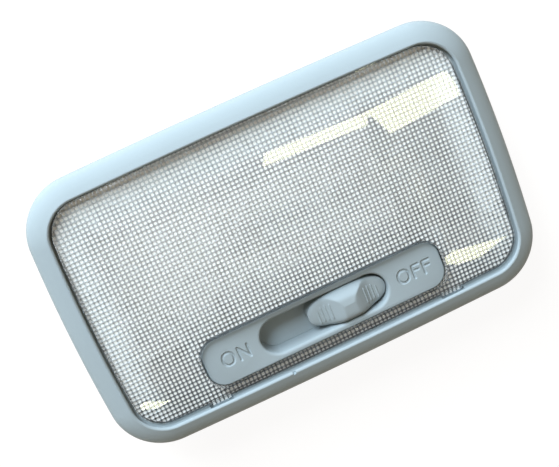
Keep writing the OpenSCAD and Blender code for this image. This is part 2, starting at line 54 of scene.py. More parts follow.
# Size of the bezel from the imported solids, and levels worked out from its crest
HALF_L, HALF_W, CREST_Z = np.array(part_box("bezel_frame")[1]) / MM
BEZEL_H = 5.2
PLATE_H = 3
LEDGE_T = 1.6
SLOT_D = 7
RIM_Z = CREST_Z - BEZEL_H
LEDGE_Z = RIM_Z - LEDGE_T
PLATE_Z = RIM_Z + PLATE_H
WELL_Z = PLATE_Z - SLOT_D

# Y of the switch's middle line
SWITCH_Y = -24

# How far a cutter runs past what it cuts
PAST = 1

# Camera, fitted to the outline in the photograph
CAMERA_AT = (-32.044, 92.176, 325.208)
CAMERA_AIM = (-2.464, 1.521, 19.0)
CAMERA_ROLL = -23.238
CAMERA_LENS = 76.08


# Solids
def new_piece(name, points, faces):
    """A new object from points in millimetres."""
    mesh = bpy.data.meshes.new(name)
    mesh.from_pydata((np.asarray(points, float) * MM).tolist(), [], faces)
    mesh.update()
    piece = bpy.data.objects.new(name, mesh)
    bpy.context.scene.collection.objects.link(piece)
    return piece


def solid(points, faces, name="scratch"):
    """A closed mesh whose faces all look outwards."""
    piece = new_piece(name, points, faces)
    work = bmesh.new()
    work.from_mesh(piece.data)
    bmesh.ops.recalc_face_normals(work, faces=work.faces)
    work.to_mesh(piece.data)
    work.free()
    return piece


def boolean(piece, other, operation):
    """Changes piece by the other solid, and removes that one."""
    change = piece.modifiers.new("change", "BOOLEAN")
    change.operation = operation
    change.solver = "MANIFOLD"
    change.object = other
    graph = bpy.context.evaluated_depsgraph_get()
    mesh = bpy.data.meshes.new_from_object(piece.evaluated_get(graph))
    piece.modifiers.clear()
    mesh.name = piece.data.name
    piece.data = mesh
    bpy.data.objects.remove(other)
    return piece


def smooth(piece, sharp):
    """Shades a piece smooth, with edges over sharp degrees kept hard."""
    piece.data.shade_smooth()
    piece.data.set_sharp_from_angle(angle=math.radians(sharp))


def skin(rings, closed=False):
    """Points and faces of a skin over rings of equal length. closed joins the last ring to the first;
    otherwise both ends are capped."""
    rings = [np.asarray(r, float) for r in rings]
    n = len(rings[0])
    faces = []
    for i in range(len(rings) if closed else len(rings) - 1):
        a, b = i * n, ((i + 1) % len(rings)) * n
        faces += [(a + j, a + (j + 1) % n, b + (j + 1) % n, b + j) for j in range(n)]
    if not closed:
        faces.append(tuple(range(n))[::-1])
        faces.append(tuple(range((len(rings) - 1) * n, len(rings) * n)))
    return np.vstack(rings), faces


def at_height(plan, z):
    """A plan outline as a ring at height z, which is one number or one for each point."""
    return np.column_stack([plan, np.full(len(plan), z) if np.isscalar(z) else z])


def prism(plan, low_z, high_z):
    """An upright solid over a plan outline."""
    return solid(*skin([at_height(plan, low_z), at_height(plan, high_z)]))


def block(low, high):
    """A plain box between two corners."""
    plan = [(low[0], low[1]), (high[0], low[1]), (high[0], high[1]), (low[0], high[1])]
    return prism(np.array(plan, float), low[2], high[2])


def bar(section, axis, start, end):
    """A solid bar along X or Y, with a section in the other two axes."""
    rings = []
    for at in (start, end):
        rings.append([(at, a, b) if axis == "X" else (a, at, b) for a, b in section])
    return solid(*skin(rings))


# Curves
def arc(centre, radius, start, end, steps):
    """Points on an arc, without its last one."""
    q = np.linspace(start, end, steps, endpoint=False)
    return np.column_stack([centre[0] + radius * np.cos(q), centre[1] + radius * np.sin(q)])


def rounded_rect(length, width, radius, centre, steps=10):
    """A rounded rectangle's outline, counter-clockwise."""
    x, y = length / 2 - radius, width / 2 - radius
    points = []
    for cx, cy, start in ((x, y, 0), (-x, y, 90), (-x, -y, 180), (x, -y, 270)):
        q = np.radians(np.linspace(start, start + 90, steps + 1))
        points.append(np.column_stack([cx + radius * np.cos(q), cy + radius * np.sin(q)]))
    return np.vstack(points) + np.array(centre)


def curve_through(keys, steps):
    """A smooth curve through the key points, with steps points to each stretch."""
    keys = np.asarray(keys, float)
    tangent = np.gradient(keys, axis=0)
    points = []
    for a, b, ta, tb in zip(keys, keys[1:], tangent, tangent[1:]):
        for t in np.linspace(0, 1, steps, endpoint=False):
            points.append((2 * t**3 - 3 * t**2 + 1) * a + (t**3 - 2 * t**2 + t) * ta
                          + (3 * t**2 - 2 * t**3) * b + (t**3 - t**2) * tb)
    return np.array(points + [keys[-1]])


def signed_power(value, power):
    """A power of a number's size, with the number's sign."""
    return np.sign(value) * np.abs(value) ** power


# The bezel's outline: four shallow arcs joined by corner arcs, all tangent
CORNER_R = 15.5
SIDE_BOW = 0.45
END_BOW = 0.66
SIDE_R = (HALF_L - CORNER_R) ** 2 / (2 * SIDE_BOW)
END_R = (HALF_W - CORNER_R) ** 2 / (2 * END_BOW)
END_CENTRE = np.array([HALF_L - END_R, 0])
SIDE_CENTRE = np.array([0, HALF_W - SIDE_R])
END_STEPS, CORNER_STEPS, SIDE_STEPS = 8, 22, 12


def corner_centre():
    """Centre of the corner arc that touches both shallow arcs."""
    apart = SIDE_CENTRE - END_CENTRE
    gap = np.linalg.norm(apart)
    along = apart / gap
    a, b = END_R - CORNER_R, SIDE_R - CORNER_R
    foot = (a * a - b * b + gap * gap) / (2 * gap)
    rise = math.sqrt(a * a - foot * foot)
    return END_CENTRE + foot * along + rise * np.array([-along[1], along[0]])


CORNER_CENTRE = corner_centre()
END_TURN = math.atan2(CORNER_CENTRE[1], CORNER_CENTRE[0] - END_CENTRE[0])
SIDE_TURN = math.atan2(CORNER_CENTRE[1] - SIDE_CENTRE[1], CORNER_CENTRE[0])


def outline(inset):
    """The bezel's outline moved in by inset, counter-clockwise from the middle of the +X end."""
    quarter = np.vstack([
        arc(END_CENTRE, END_R - inset, 0, END_TURN, END_STEPS),
        arc(CORNER_CENTRE, CORNER_R - inset, END_TURN, SIDE_TURN, CORNER_STEPS),
        arc(SIDE_CENTRE, SIDE_R - inset, SIDE_TURN, math.pi / 2, SIDE_STEPS),
    ])
    top = np.array([[0, HALF_W - inset]])
    back = quarter[1:][::-1]
    left = quarter[:1] * [-1, 1]
    upper = np.vstack([quarter, top, back * [-1, 1], left])
    lower = (upper[1:-1] * [1, -1])[::-1]
    return np.vstack([upper, lower])


# Section of the bezel as distance in from the outline and height over the rim
BAND = 6.2
FACE_STEPS = 4
BEZEL_FACE = [(0, 0), (0, 0.9), (0.12, 1.6), (0.45, 2.3), (1.0, 2.95), (1.8, 3.58), (2.6, 4.08),
              (3.4, 4.5), (4.2, 4.84), (4.8, 5.08), (5.15, 5.2), (5.45, 5.12), (5.7, 4.9), (5.83, 4.6),
              (5.7, 4.35), (5.5, 4.0), (5.3, 3.5), (5.3, 2.9), (5.6, 2.5), (BAND, 2.4)]
BEZEL_BACK = [(BAND, -LEDGE_T), (4.9, -LEDGE_T), (4.9, 2.4), (4, 3.1), (2.9, 2.9), (2, 2),
              (1.7, 1.1), (1.7, 0)]

# The ledge's opening as its limits in X and Y, and the shelf that stays in it for the switch plate
LEDGE_INSET = 5.6
MOUTH = (-51.2, 51.2, -31.4, 24.3)
MOUTH_R = 3
SHELF_HALF_L = 39
SHELF_HIGH_Y = -14.4

# Switch plate, its slot, and the wall that goes down round the slot
PLATE_L, PLATE_W, PLATE_R = 72, 14, 5
PLATE_EDGE_R = 0.45
PLATE_FOOT_Z = LEDGE_Z + 0.4
ROUND_STEPS = 6
SLOT_L, SLOT_W = 40, 12
SLOT_RIM_R = 0.8
SLOT_RIM_STEPS = 8
SLOT_DRAFT = 0.9
WELL_L, WELL_W = SLOT_L + 0.8, SLOT_W + 0.6

# Shutter under the plate, which is part of the knob, and the rails that guide it. Rails and hooks start
# at ROOT_Z, inside the ledge.
SHUTTER_L, SHUTTER_W, SHUTTER_T = 56, 13, 1.5
SHUTTER_Z = WELL_Z - 0.1
RAIL_GAP = 0.1
RAIL_WALL = 1.2
RAIL_LIP, RAIL_LIP_T = 1, 0.9
RAIL_FOOT_Z = SHUTTER_Z - SHUTTER_T - 1
RAIL_HALF_L = 38
ROOT_Z = LEDGE_Z + 0.5

# Hooks at both ends: section as distance from HOOK_X and height, and places along Y
HOOK_X = 54
HOOK_SECTION = [(1.4, ROOT_Z), (2.9, ROOT_Z), (2.9, 8.7), (1.4, 8.7), (0.3, 9.3), (0.3, 10.1), (1.4, 10.1)]
HOOK_PLACES = (-14, 12)
HOOK_HALF_W = 4

# Pockets for the lens's tabs, and a small notch in the crest: distances in, and heights over the rim
TAB_X = 35.7
POCKET_W = 6.9
POCKET_INSET = 5.3
POCKET_DEPTH = BAND + 0.5 - POCKET_INSET
POCKET_LOW, POCKET_HIGH = 0.9, 4
NOTCH_LEFT, NOTCH_RIGHT = -14.8, -13.9
NOTCH_INSET = (4.9, 6.1)
NOTCH_LOW, NOTCH_HIGH = 3.6, 5.6

# Letters of the plate as letter, place and width, and the half width of their groove at each height
LETTERS = [("O", -29.2, 4.2), ("N", -24.5, 3.8), ("O", 24.3, 4.2), ("F", 28.3, 2.9), ("F", 31.5, 2.9)]
LETTER_H = 4.6
STROKE = 0.95
LETTER_D = 0.45
GROOVE = [(-LETTER_D, 0.06), (-0.8 * LETTER_D, 0.18), (-0.4 * LETTER_D, 0.32), (0, STROKE / 2),
          (PAST, STROKE / 2)]
O_POWER = 0.9
O_STEPS = 48
F_BAR_Y, F_BAR_SHORTER = 0.3, 0.3
GROOVE_END_STEPS = 9
FRAME_SHARP = 32


def bezel_ring():
    face = np.clip(curve_through(BEZEL_FACE, FACE_STEPS), 0, (BAND, BEZEL_H))
    section = np.vstack([face, BEZEL_BACK])
    return solid(*skin([at_height(outline(d), RIM_Z + h) for d, h in section], closed=True), name="bezel")


def frame_ledge():
    """The ledge under the lens, open in the middle but for the shelf."""
    x0, x1, y0, y1 = MOUTH
    mouth = rounded_rect(x1 - x0, y1 - y0, MOUTH_R, ((x0 + x1) / 2, (y0 + y1) / 2))
    opening = prism(mouth, LEDGE_Z - PAST, RIM_Z + PAST)
    shelf = block((-SHELF_HALF_L, y0 - PAST, LEDGE_Z - 2 * PAST),
                  (SHELF_HALF_L, SHELF_HIGH_Y, RIM_Z + 2 * PAST))
    boolean(opening, shelf, "DIFFERENCE")
    return boolean(prism(outline(LEDGE_INSET), LEDGE_Z, RIM_Z), opening, "DIFFERENCE")


def plate_plan(inset=0):
    return rounded_rect(PLATE_L - 2 * inset, PLATE_W - 2 * inset, PLATE_R - inset, (0, SWITCH_Y))


def switch_plate():
    """The raised plate, with a rounded upper edge."""
    rings = [at_height(plate_plan(), PLATE_FOOT_Z)]
    for q in np.linspace(0, math.pi / 2, ROUND_STEPS):
        plan = plate_plan(PLATE_EDGE_R * (1 - math.cos(q)))
        rings.append(at_height(plan, PLATE_Z - PLATE_EDGE_R + PLATE_EDGE_R * math.sin(q)))
    return solid(*skin(rings))


def stadium(length, width):
    """Outline of a slot with round ends, whose straight ends keep a hair of length."""
    return rounded_rect(length, width, width / 2 - 1e-4, (0, SWITCH_Y), steps=24)


def slot_cutter():
    """The slot narrows down to the shutter, and its rim is rounded."""
    rings = [at_height(stadium(SLOT_L - 2 * SLOT_DRAFT, SLOT_W - 2 * SLOT_DRAFT), WELL_Z - PAST)]
    for q in np.linspace(0, math.pi / 2, SLOT_RIM_STEPS):
        inset = SLOT_RIM_R * math.cos(q)
        depth = SLOT_RIM_R * (1 - math.sin(q))
        rings.append(at_height(stadium(SLOT_L - 2 * inset, SLOT_W - 2 * inset), PLATE_Z - depth))
    rings.append(at_height(stadium(SLOT_L, SLOT_W), PLATE_Z + PAST))
    return solid(*skin(rings))


def upright_oval(x, width, inset):
    """Outline of the letter O, moved in by inset."""
    q = np.linspace(0, 2 * math.pi, O_STEPS, endpoint=False)
    a, b = width / 2 - inset, LETTER_H / 2 - inset
    return np.column_stack([x + a * signed_power(np.cos(q), O_POWER),
                            SWITCH_Y + b * signed_power(np.sin(q), O_POWER)])


def round_groove(x, width):
    """The groove of the letter O, whose outer top edge is width wide."""
    mid = STROKE / 2
    outer = [at_height(upright_oval(x, width, mid - half), PLATE_Z + h) for h, half in GROOVE]
    inner = [at_height(upright_oval(x, width, mid + half), PLATE_Z + h) for h, half in GROOVE[::-1]]
    return solid(*skin(outer + inner, closed=True))


def straight_groove(start, end):
    """A groove with round ends between two points of the plate."""
    along = (end - start) / np.linalg.norm(end - start)
    side = np.array([-along[1], along[0]])
    q = np.linspace(-math.pi / 2, math.pi / 2, GROOVE_END_STEPS)
    cap = np.outer(np.cos(q), along) + np.outer(np.sin(q), side)
    return solid(*skin([at_height(np.vstack([end + half * cap, start - half * cap]), PLATE_Z + h)
                        for h, half in GROOVE]))


def letter_cutters(letter, x, width):
    if letter == "O":
        return [round_groove(x, width)]
    a, h = (width - STROKE) / 2, (LETTER_H - STROKE) / 2
    lines = [((-a, -h), (-a, h))]
    if letter == "N":
        lines += [((-a, h), (a, -h)), ((a, -h), (a, h))]
    else:
        lines += [((-a, h), (a, h)), ((-a, F_BAR_Y), (a - F_BAR_SHORTER, F_BAR_Y))]
    middle = (x, SWITCH_Y)
    return [straight_groove(np.add(start, middle), np.add(end, middle)) for start, end in lines]


def rails():
    """Two rails, whose lips reach under the shutter."""
    inner = SHUTTER_W / 2 + RAIL_GAP
    section = [(inner, ROOT_Z), (inner + RAIL_WALL, ROOT_Z), (inner + RAIL_WALL, RAIL_FOOT_Z),
               (inner - RAIL_LIP, RAIL_FOOT_Z), (inner - RAIL_LIP, RAIL_FOOT_Z + RAIL_LIP_T),
               (inner, RAIL_FOOT_Z + RAIL_LIP_T)]
    return [bar([(SWITCH_Y + side * y, z) for y, z in section], "X", -RAIL_HALF_L, RAIL_HALF_L)
            for side in (-1, 1)]


def hooks():
    return [bar([(side * (HOOK_X + x), z) for x, z in HOOK_SECTION], "Y", y - HOOK_HALF_W, y + HOOK_HALF_W)
            for side in (-1, 1) for y in HOOK_PLACES]


def pockets():
    cutters = []
    for side in (-1, 1):
        left = side * TAB_X - POCKET_W / 2
        for y in (HALF_W - POCKET_INSET - POCKET_DEPTH, -HALF_W + POCKET_INSET):
            cutters.append(block((left, y, RIM_Z + POCKET_LOW),
                                 (left + POCKET_W, y + POCKET_DEPTH, RIM_Z + POCKET_HIGH)))
    return cutters


def notch():
    return block((NOTCH_LEFT, -HALF_W + NOTCH_INSET[0], RIM_Z + NOTCH_LOW),
                 (NOTCH_RIGHT, -HALF_W + NOTCH_INSET[1], RIM_Z + NOTCH_HIGH))


def make_frame():
    piece = bezel_ring()
    well = prism(stadium(WELL_L, WELL_W), WELL_Z, PLATE_FOOT_Z)
    for other in [frame_ledge(), switch_plate(), well] + rails() + hooks():
        boolean(piece, other, "UNION")
    letters = [cutter for row in LETTERS for cutter in letter_cutters(*row)]
    for cutter in [slot_cutter()] + letters + pockets() + [notch()]:
        boolean(piece, cutter, "DIFFERENCE")
    smooth(piece, FRAME_SHARP)
    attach(piece, "light")
    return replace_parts(piece, "bezel_frame")


# Lens: pillows are PITCH apart in both directions, and the tabs' low and high sides are over the rim
LENS_INSET = BAND + 0.35
LENS_HALF_W = HALF_W - LENS_INSET
LENS_EDGE_Z = RIM_Z + 3.6
LENS_CROWN = 1.2
CROWN_POWER = 4
LENS_WALL = 1.9
LENS_EDGE_R = 0.3
LENS_RINGS = 28
RING_SPREAD = 1.2
BORDER = 0.2
PITCH = 1.2
PILLOW_R = 0.95
CELL_STEPS = 4
WINDOW_GAP = 0.35
WINDOW_LIP = 0.3
WINDOW_EDGE_R = 0.2
TAB_W = 6
TAB_INSET = 5.5
TAB_ROOT = BAND + 1.5
TAB_LOW, TAB_HIGH = 1.1, 2.3
LENS_SHARP = 40


def crown_z(y):
    """Height of the lens's face, which is crowned across the light."""
    return LENS_EDGE_Z + LENS_CROWN * (1 - (np.abs(y) / LENS_HALF_W) ** CROWN_POWER)


def lens_blank():
    """The outer form: a flat underside on the ledge, a straight edge, and a crowned face."""
    rings = [at_height(outline(LENS_INSET), RIM_Z)]
    for q in np.linspace(0, math.pi / 2, ROUND_STEPS):
        plan = outline(LENS_INSET + LENS_EDGE_R * (1 - math.cos(q)))
        rings.append(at_height(plan, crown_z(plan[:, 1]) - LENS_EDGE_R * (1 - math.sin(q))))
    rim = outline(LENS_INSET + LENS_EDGE_R)
    for share in 1 - np.linspace(0, 1, LENS_RINGS)[1:-1] ** RING_SPREAD:
        plan = rim * share
        rings.append(at_height(plan, crown_z(plan[:, 1])))
    points, faces = skin(rings)
    faces.pop()
    points = np.vstack([points, [[0, 0, crown_z(0)]]])
    n = len(rim)
    first = (len(rings) - 1) * n
    faces += [(first + j, first + (j + 1) % n, len(points) - 1) for j in range(n)]
    return solid(points, faces, name="lens_cover")


def window_plan(grow):
    return rounded_rect(PLATE_L + 2 * (WINDOW_GAP + grow), PLATE_W + 2 * (WINDOW_GAP + grow),
                        PLATE_R + WINDOW_GAP + grow, (0, SWITCH_Y))


def window_cutter():
    """The window for the switch plate, whose upper edge is rounded."""
    rings = [at_height(window_plan(0), RIM_Z - PAST)]
    for q in np.linspace(0, math.pi / 2, ROUND_STEPS):
        plan = window_plan(WINDOW_EDGE_R * (1 - math.cos(q)))
        rings.append(at_height(plan, crown_z(plan[:, 1]) - WINDOW_EDGE_R * (1 - math.sin(q))))
    rings.append(at_height(window_plan(WINDOW_EDGE_R), CREST_Z + 2 * PAST))
    return solid(*skin(rings))


def pillow_block(columns, rows):
    """A block with a flat underside, whose top has a round hollow for each pillow of the inner face."""
    gx, gy = np.indices((columns * CELL_STEPS + 1, rows * CELL_STEPS + 1))
    x = (gx / CELL_STEPS - columns / 2) * PITCH
    y = (gy / CELL_STEPS - rows / 2) * PITCH
    u, v = gx % CELL_STEPS / CELL_STEPS, gy % CELL_STEPS / CELL_STEPS
    reach = ((u - 0.5) ** 2 + (v - 0.5) ** 2) * PITCH**2
    dip = PILLOW_R - np.sqrt(PILLOW_R**2 - reach)
    top = crown_z(y) - LENS_WALL - (PILLOW_R - math.sqrt(PILLOW_R**2 - PITCH**2 / 2)) + dip
    under = np.full(x.size, RIM_Z - PAST)
    points = np.vstack([np.column_stack([x.ravel(), y.ravel(), top.ravel()]),
                        np.column_stack([x.ravel(), y.ravel(), under])])
    index = np.arange(x.size).reshape(x.shape)
    quads = np.column_stack([part.ravel() for part in (index[:-1, :-1], index[1:, :-1],
                                                       index[1:, 1:], index[:-1, 1:])])
    border = np.concatenate([index[:, 0], index[-1, 1:], index[-2::-1, -1], index[0, -2:0:-1]])
    after = np.roll(border, -1)
    walls = np.column_stack([border, after, after + x.size, border + x.size])
    return solid(points, np.vstack([quads, quads[:, ::-1] + x.size, walls]).tolist())


def pillow_core():
    """The hollow under the lens, up to its sides and its window. Its columns are even and its rows odd, so
    that pillows meet on X = 0 and have their middle on Y = 0."""
    columns = int(2 * (HALF_L - LENS_INSET) / PITCH) // 2 * 2 + 4
    rows = int(2 * LENS_HALF_W / PITCH) // 2 * 2 + 3
    hollow = prism(outline(LENS_INSET + BORDER), RIM_Z - 0.8 * PAST, CREST_Z)
    lip = prism(window_plan(WINDOW_LIP), RIM_Z - 2 * PAST, CREST_Z + 2 * PAST)
    boolean(hollow, lip, "DIFFERENCE")
    return boolean(pillow_block(columns, rows), hollow, "INTERSECT")


def make_lens():
    piece = lens_blank()
    for side in (-1, 1):
        left = side * TAB_X - TAB_W / 2
        for y in (HALF_W - TAB_ROOT, -HALF_W + TAB_INSET):
            tab = block((left, y, RIM_Z + TAB_LOW),
                        (left + TAB_W, y + TAB_ROOT - TAB_INSET, RIM_Z + TAB_HIGH))
            boolean(piece, tab, "UNION")
    boolean(piece, pillow_core(), "DIFFERENCE")
    boolean(piece, window_cutter(), "DIFFERENCE")
    smooth(piece, LENS_SHARP)
    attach(piece, "light")
    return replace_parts(piece, "lens")


# Knob: slopes are millimetres down for each millimetre out from the ridge
KNOB_L, KNOB_W = 23.4, 9.7
TRAVEL = 14.4
KNOB_X = TRAVEL / 2
KNOB_BASE_Z = SHUTTER_Z - 0.5
OVAL_POWER = 2.5
RIDGE_H = 2.0
RIDGE_Y = 0.13
RIDGE_HALF_L = 1.8
FRONT_LEAN, FRONT_SLOPE, FRONT_START = 0.1, 0.6, 2.2
BACK_SLOPE, BACK_ROUND, BACK_POWER = 0.12, 1.1, 6
SHOULDER_SLOPE, SHOULDER_LEAN, SHOULDER_END = 0.46, 0.1, 7.0
SHOULDER_ROUND = 0.5
STEEP_SLOPE, STEEP_START = 0.18, 3.3
EDGE_ROUND, EDGE_POWER = 0.7, 10
FACET_BEND, END_BEND, RIDGE_BEND = 0.3, 0.45, 0.06
KNOB_RINGS = 44
KNOB_SPOKES = 160
KNOB_SHARP = 38

# Grip ribs on each shoulder, and pegs under the shutter
RIB_LENGTHS = (5.6, 5.6, 5.2, 4.2)
RIB_START, RIB_PITCH = 5.2, 1.22
RIB_R = 0.34
RIB_LOW_Y = -3.0
RIB_SINK = 0.17
RIB_RINGS, RIB_SPOKES = 13, 16
PEG_PLACES = (-4, 8)
PEG_D = 1.8
PEG_H, PEG_ROOT = 0.9, 0.3


def ease(v, width):
    """0 below zero and v above it, with a soft bend."""
    return width * np.logaddexp(0, v / width)


def knob_height(x, y, reach):
    """A hump with a short ridge along the middle. Its front face drops away steeply, its back face leans a
    little, and both shoulders slope down to flat ends."""
    s = y - RIDGE_Y
    x = np.abs(x)
    roll = BACK_ROUND * np.where(y > 0, 0, (np.abs(y) * 2 / KNOB_W) ** BACK_POWER)
    front = FRONT_LEAN * s + FRONT_SLOPE * ease(s - FRONT_START, FACET_BEND)
    facing = np.where(s > 0, front, roll - BACK_SLOPE * s)
    shoulder = (SHOULDER_SLOPE * (x - RIDGE_HALF_L) + STEEP_SLOPE * ease(x - STEEP_START, FACET_BEND)
                - (SHOULDER_SLOPE + STEEP_SLOPE) * ease(x - SHOULDER_END, END_BEND)
                - SHOULDER_LEAN * s + SHOULDER_ROUND * roll)
    drop = shoulder + ease(facing - shoulder, RIDGE_BEND)
    return PLATE_Z + RIDGE_H - drop - EDGE_ROUND * reach**EDGE_POWER


def knob_plan(reach):
    """An oval at a share of the knob's size, about the knob's middle."""
    q = np.linspace(0, 2 * math.pi, KNOB_SPOKES, endpoint=False)
    power = 2 / OVAL_POWER
    return np.column_stack([reach * KNOB_L / 2 * signed_power(np.cos(q), power),
                            reach * KNOB_W / 2 * signed_power(np.sin(q), power)])


def knob_body():
    rings = [at_height(knob_plan(1), KNOB_BASE_Z)]
    for i in range(KNOB_RINGS, 0, -1):
        reach = math.sin(math.pi / 2 * i / KNOB_RINGS)
        plan = knob_plan(reach)
        rings.append(at_height(plan, knob_height(plan[:, 0], plan[:, 1], reach)))
    points, faces = skin(rings)
    return solid(points + [KNOB_X, SWITCH_Y, 0], faces, name="knob")


def rib(x, length):
    """A grip rib: a rod across the knob with round ends, which follows the slope of the shoulder."""
    q = np.linspace(0, 2 * math.pi, RIB_SPOKES, endpoint=False)
    rings = []
    for t in np.linspace(0, 1, RIB_RINGS):
        y = RIB_LOW_Y + t * length
        end = max(0.0, abs(t - 0.5) * length - (length / 2 - RIB_R))
        r = math.sqrt(max(RIB_R**2 - end**2, 1e-4))
        z = float(knob_height(np.array(x), np.array(y), 2 * abs(x) / KNOB_L)) - RIB_SINK
        rings.append(np.column_stack([KNOB_X + x + r * np.cos(q), np.full(RIB_SPOKES, SWITCH_Y + y),
                                      z + r * np.sin(q)]))
    return solid(*skin(rings))


def make_knob():
    piece = knob_body()
    for side in (-1, 1):
        for i, length in enumerate(RIB_LENGTHS):
            boolean(piece, rib(side * (RIB_START + RIB_PITCH * i), length), "UNION")
    shutter = block((KNOB_X - SHUTTER_L / 2, SWITCH_Y - SHUTTER_W / 2, SHUTTER_Z - SHUTTER_T),
                    (KNOB_X + SHUTTER_L / 2, SWITCH_Y + SHUTTER_W / 2, SHUTTER_Z))
    boolean(piece, shutter, "UNION")
    for x in PEG_PLACES:
        plan = rounded_rect(PEG_D, PEG_D, PEG_D / 2 - 0.001, (KNOB_X + x, SWITCH_Y))
        peg = prism(plan, SHUTTER_Z - SHUTTER_T - PEG_H, SHUTTER_Z - SHUTTER_T + PEG_ROOT)
        boolean(piece, peg, "UNION")
    smooth(piece, KNOB_SHARP)
    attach(piece, "switch")
    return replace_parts(piece, "switch_knob")


# Nodes of materials and of the world
def set_inputs(tree, node, inputs):
    """Links each input to a socket, or sets it to a number or a colour."""
    for name, value in inputs.items():
        if isinstance(value, bpy.types.NodeSocket):
            tree.links.new(value, node.inputs[name])
        elif isinstance(value, (tuple, list)):
            node.inputs[name].default_value = (*value, 1)
        else:
            node.inputs[name].default_value = value


def add_node(tree, kind, inputs=None, **settings):
    node = tree.nodes.new("ShaderNode" + kind)
    for name, value in settings.items():
        setattr(node, name, value)
    set_inputs(tree, node, inputs or {})
    return node


def number(tree, operation, *values):
    """A maths node on sockets or constants."""
    return add_node(tree, "Math", dict(enumerate(values)), operation=operation).outputs[0]


def between(tree, value, low, high):
    """A value from 0 to 1 spread from low to high."""
    return add_node(tree, "MapRange", {"Value": value, "To Min": low, "To Max": high}).outputs["Result"]


def ramp(tree, value, limits, low=0.0, high=1.0):
    """A smooth step of a value, from low at the first limit to high at the second."""
    inputs = {"Value": value, "From Min": limits[0], "From Max": limits[1], "To Min": low, "To Max": high}
    return add_node(tree, "MapRange", inputs, interpolation_type="SMOOTHSTEP").outputs["Result"]


def blend(tree, factor, a, b):
    """A colour between two colours, each a socket or a constant."""
    return add_node(tree, "Mix", {"Factor": factor, "A": a, "B": b}, data_type="RGBA").outputs["Result"]


def noise(tree, scale, detail):
    """Noise in the object's own coordinates, in metres."""
    place = add_node(tree, "TexCoord").outputs["Object"]
    inputs = {"Vector": place, "Scale": scale, "Detail": detail}
    return add_node(tree, "TexNoise", inputs).outputs["Fac"]


def relief(tree, height, distance):
    """A small bump, distance high in metres."""
    return add_node(tree, "Bump", {"Height": height, "Distance": distance}).outputs["Normal"]


def coloured(tree, kind, colour):
    """A plain shader of one colour."""
    return add_node(tree, kind, {"Color": colour}).outputs["BSDF"]


def show(tree, surface, others, output="Material Output"):
    """Sends a surface to the output, with another in its place for some kinds of ray."""
    rays = add_node(tree, "LightPath")
    for kind, other in others:
        mix = add_node(tree, "MixShader", {"Fac": rays.outputs[kind], 1: surface, 2: other})
        surface = mix.outputs["Shader"]
    tree.links.new(surface, tree.nodes[output].inputs["Surface"])


# Materials: scales of noise are per metre, and depths of grain in metres
PLASTIC_GRAIN, PLASTIC_DEPTH, PLASTIC_CLOUD = 2600.0, 0.00002, 60.0
METAL_GRAIN, METAL_DEPTH = 900.0, 0.00001
CLEAR_CLOUD = 80.0
CLEAR_UNEVEN = 0.02
PLASTIC_UNEVEN = 0.04
WHITE = (1, 1, 1)
GREY = (0.38, 0.43, 0.445)
HOUSING_GREY = (0.40, 0.44, 0.45)
BASE_BROWN = (0.05, 0.04, 0.035)
STEEL = (0.62, 0.63, 0.64)
TINNED_BRASS = (0.66, 0.62, 0.52)
REFLECTOR_METAL = (0.86, 0.87, 0.88)
WIRE = (0.25, 0.25, 0.26)
ACRYLIC = (0.97, 0.985, 0.99)
RIM_TINT = (0.95, 0.97, 0.98)
GLASS = (0.98, 0.99, 0.99)
ACRYLIC_IOR, GLASS_IOR = 1.49, 1.5
RIM_SHADE = 0.3


def new_material(name):
    """A material, its node tree and its main shader."""
    material = bpy.data.materials.new(name)
    material.use_nodes = True
    tree = material.node_tree
    return material, tree, tree.nodes["Principled BSDF"]


def moulded(name, colour, roughness, specular=0.5):
    """Moulded plastic: a slight unevenness in colour and gloss over a fine grain."""
    material, tree, shader = new_material(name)
    cloud = noise(tree, PLASTIC_CLOUD, 4.0)
    darker = [c * 0.97 for c in colour]
    lighter = [min(c * 1.03, 1) for c in colour]
    set_inputs(tree, shader, {
        "Base Color": blend(tree, cloud, darker, lighter),
        "Roughness": between(tree, cloud, roughness - PLASTIC_UNEVEN, roughness + PLASTIC_UNEVEN),
        "Specular IOR Level": specular,
        "Normal": relief(tree, noise(tree, PLASTIC_GRAIN, 3.0), PLASTIC_DEPTH),
    })
    return material


def metal(name, colour, roughness):
    """Sheet or turned metal with fine marks."""
    material, tree, shader = new_material(name)
    marks = noise(tree, METAL_GRAIN, 3.0)
    set_inputs(tree, shader, {
        "Base Color": blend(tree, marks, [c * 0.9 for c in colour], colour),
        "Metallic": 1.0,
        "Roughness": between(tree, marks, roughness * 0.8, roughness * 1.3),
        "Normal": relief(tree, marks, METAL_DEPTH),
    })
    return material


def clear(name, colour, roughness, ior, shade=0.97):
    """Clear plastic or glass, which lamps, and light between other surfaces, pass straight through."""
    material, tree, shader = new_material(name)
    set_inputs(tree, shader, {
        "Base Color": colour,
        "Roughness": between(tree, noise(tree, CLEAR_CLOUD, 2.0), roughness, roughness + CLEAR_UNEVEN),
        "IOR": ior,
        "Transmission Weight": 1.0,
    })
    through = coloured(tree, "BsdfTransparent", [c * shade for c in colour])
    show(tree, shader.outputs["BSDF"], [("Is Reflection Ray", through), ("Is Shadow Ray", through)])
    return material


